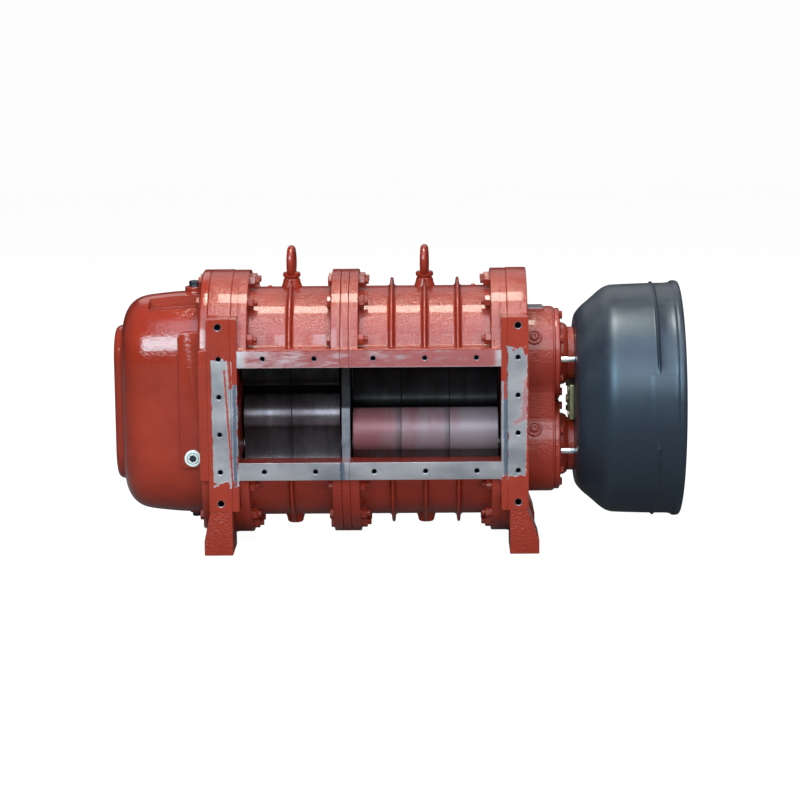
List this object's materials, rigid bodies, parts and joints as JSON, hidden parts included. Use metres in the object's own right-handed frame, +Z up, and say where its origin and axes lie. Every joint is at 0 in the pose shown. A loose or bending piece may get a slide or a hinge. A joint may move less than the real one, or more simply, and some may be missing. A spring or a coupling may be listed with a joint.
{
  "type": "rotary lobe blower head",
  "caption": "Rotary lobe blower head: stacked shafts with lobed rotors in a short and a long chamber, side ports, domed gear case, lifting eyes and bell-shaped shaft guard.",
  "frame": {"origin": "on the ground, under the middle of the machine's length and depth", "axes": "+X along the shafts, from the gear case to the shaft guard; the front port faces -Y; +Z up"},
  "size_m": [1.348, 0.5652, 0.71],
  "materials": {
    "red_enamel": "glossy brick-red enamel on cast iron, worn off the machined edges",
    "machined_iron": "turned and ground, bare",
    "rotor_iron": "machined, bare, dull",
    "black_guard": "satin black, lightly dusty",
    "zinc_steel": "bright zinc plated",
    "yellow_zinc": "yellow passivated zinc plate",
    "dark_plug": "blackened steel"
  },
  "bodies": {
    "casing": {"bearing_housing": "red_enamel", "gear_case": "red_enamel", "left_casing": "red_enamel", "right_casing": "red_enamel", "middle_plate": "red_enamel", "left_end_plate": "red_enamel", "right_end_plate": "red_enamel", "left_lifting_eye": "red_enamel", "right_lifting_eye": "red_enamel", "lower_bearing_cover": "red_enamel", "upper_bearing_cover": "red_enamel", "lower_grease_nipple": "red_enamel", "upper_grease_nipple": "red_enamel", "shaft_guard": "black_guard", "guard_bracket": "yellow_zinc", "lower_front_pin": "zinc_steel", "lower_rear_pin": "zinc_steel", "upper_front_pin": "zinc_steel", "upper_rear_pin": "zinc_steel", "oil_level_plug": "zinc_steel", "oil_filler_plug": "dark_plug", "oil_drain_plug": "dark_plug"},
    "lower_rotor": {"lower_shaft": "machined_iron", "lower_short_rotor_1": "rotor_iron", "lower_short_rotor_2": "rotor_iron", "lower_long_rotor_1": "rotor_iron", "lower_long_rotor_2": "rotor_iron", "lower_long_rotor_3": "rotor_iron"},
    "upper_rotor": {"upper_shaft": "machined_iron", "upper_short_rotor_1": "rotor_iron", "upper_short_rotor_2": "rotor_iron", "upper_long_rotor_1": "rotor_iron", "upper_long_rotor_2": "rotor_iron", "upper_long_rotor_3": "rotor_iron"}
  },
  "joints": [
    {"name": "lower_rotor_spin", "type": "hinge", "parent": "casing", "child": "lower_rotor", "pos_m": [0, 0, 0.224], "axis": [1, 0, 0], "continuous": true},
    {"name": "upper_rotor_spin", "type": "hinge", "parent": "casing", "child": "upper_rotor", "pos_m": [0, 0, 0.444], "axis": [1, 0, 0], "continuous": true}
  ],
  "couplings": [
    {"joint": "upper_rotor_spin", "follows": "lower_rotor_spin", "ratio": -1}
  ]
}
